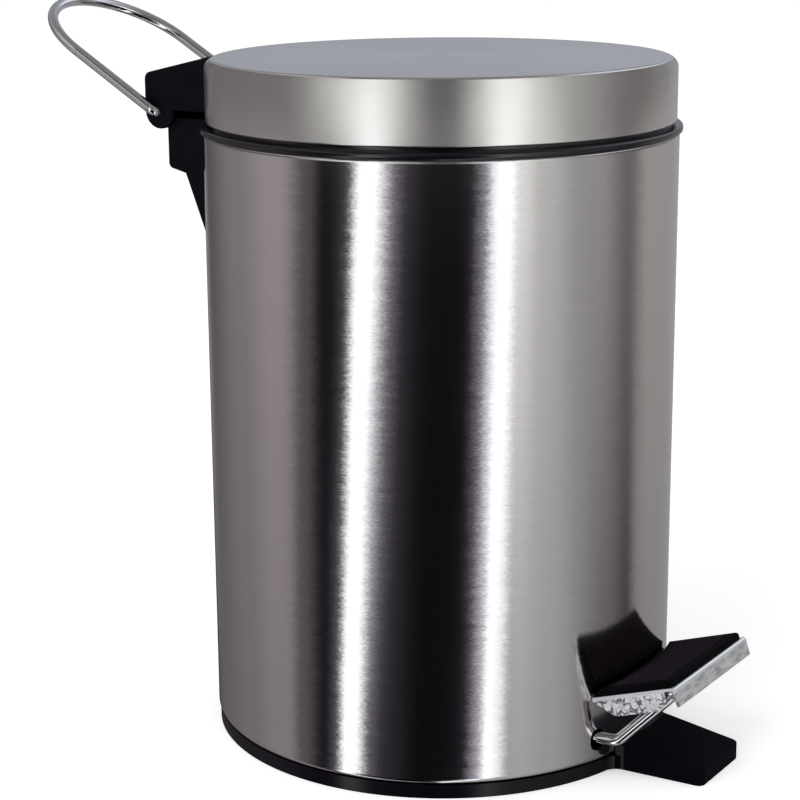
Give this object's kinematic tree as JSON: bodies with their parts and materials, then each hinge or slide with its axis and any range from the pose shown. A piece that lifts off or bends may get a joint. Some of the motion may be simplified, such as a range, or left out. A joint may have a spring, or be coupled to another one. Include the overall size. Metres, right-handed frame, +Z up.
{
  "type": "pedal bin",
  "caption": "Round steel pedal bin with hinged lid, wire carry handle, front foot pedal on a wire lever, and removable inner bucket.",
  "frame": {"origin": "on the floor under the drum's axis, at the centre of the base's flat underside", "axes": "+Z up along the drum's axis; +Y to the back, towards the hinge and handle; -Y to the front, where the pedal is; +X to the right seen from behind"},
  "size_m": [0.2078, 0.3485, 0.3174],
  "materials": {
    "drum_steel": "stainless, fine grain running round the drum",
    "lid_steel": "stainless, fine satin grain",
    "black_plastic": "satin moulded black",
    "handle_chrome": "bright plated wire",
    "lever_wire": "plated wire, slightly dulled",
    "pedal_chrome": "bright pressed sheet with light scratches",
    "pad_rubber": "matte black with a fine moulded grid",
    "link_steel": "zinc-plated strip",
    "screw_steel": "zinc-plated",
    "bucket_plastic": "matte moulded dark grey",
    "bail_wire": "plated wire"
  },
  "bodies": {
    "bin": {"body_shell": "drum_steel", "base": "black_plastic", "top_ring": "black_plastic", "body_bracket": "black_plastic", "body_bracket_screws": "screw_steel", "strap_guide": "link_steel", "axle_caps": "black_plastic", "axle_cap_screws": "screw_steel", "inner_bucket": "bucket_plastic"},
    "lid": {"lid_shell": "lid_steel", "lid_bracket": "black_plastic", "lid_bracket_screws": "screw_steel", "lift_arm": "link_steel", "arm_rivets": "link_steel", "arm_pin": "link_steel"},
    "pedal": {"pedal_lever": "lever_wire", "lever_axle": "lever_wire", "pedal_plate": "pedal_chrome", "pedal_pad": "pad_rubber"},
    "strap": {"lift_strap": "link_steel"},
    "handle": {"carry_handle": "handle_chrome"},
    "bail": {"bucket_bail": "bail_wire"}
  },
  "joints": [
    {"name": "lid_hinge", "type": "hinge", "parent": "bin", "child": "lid", "pos_m": [0, 0.1273, 0.2703], "axis": [-1, 0, 0], "range_deg": [0, 70]},
    {"name": "pedal_pivot", "type": "hinge", "parent": "bin", "child": "pedal", "pos_m": [0, -0.09, 0.02206], "axis": [1, 0, 0], "range_deg": [0, 14.98]},
    {"name": "strap_slide", "type": "slide", "parent": "bin", "child": "strap", "axis": [0, 0, 1], "range_m": [0, 0.04663]},
    {"name": "handle_swing", "type": "hinge", "parent": "bin", "child": "handle", "pos_m": [0, 0.1273, 0.2703], "axis": [1, 0, 0], "range_deg": [-119.7, 22.3]},
    {"name": "bail_swing", "type": "hinge", "parent": "bin", "child": "bail", "pos_m": [0, 0, 0.2687], "axis": [-1, 0, 0], "range_deg": [0, 12]}
  ],
  "couplings": [
    {"joint": "pedal_pivot", "follows": "lid_hinge", "ratio": 0.21402},
    {"joint": "strap_slide", "follows": "lid_hinge", "m_per_rad": 0.03817}
  ]
}
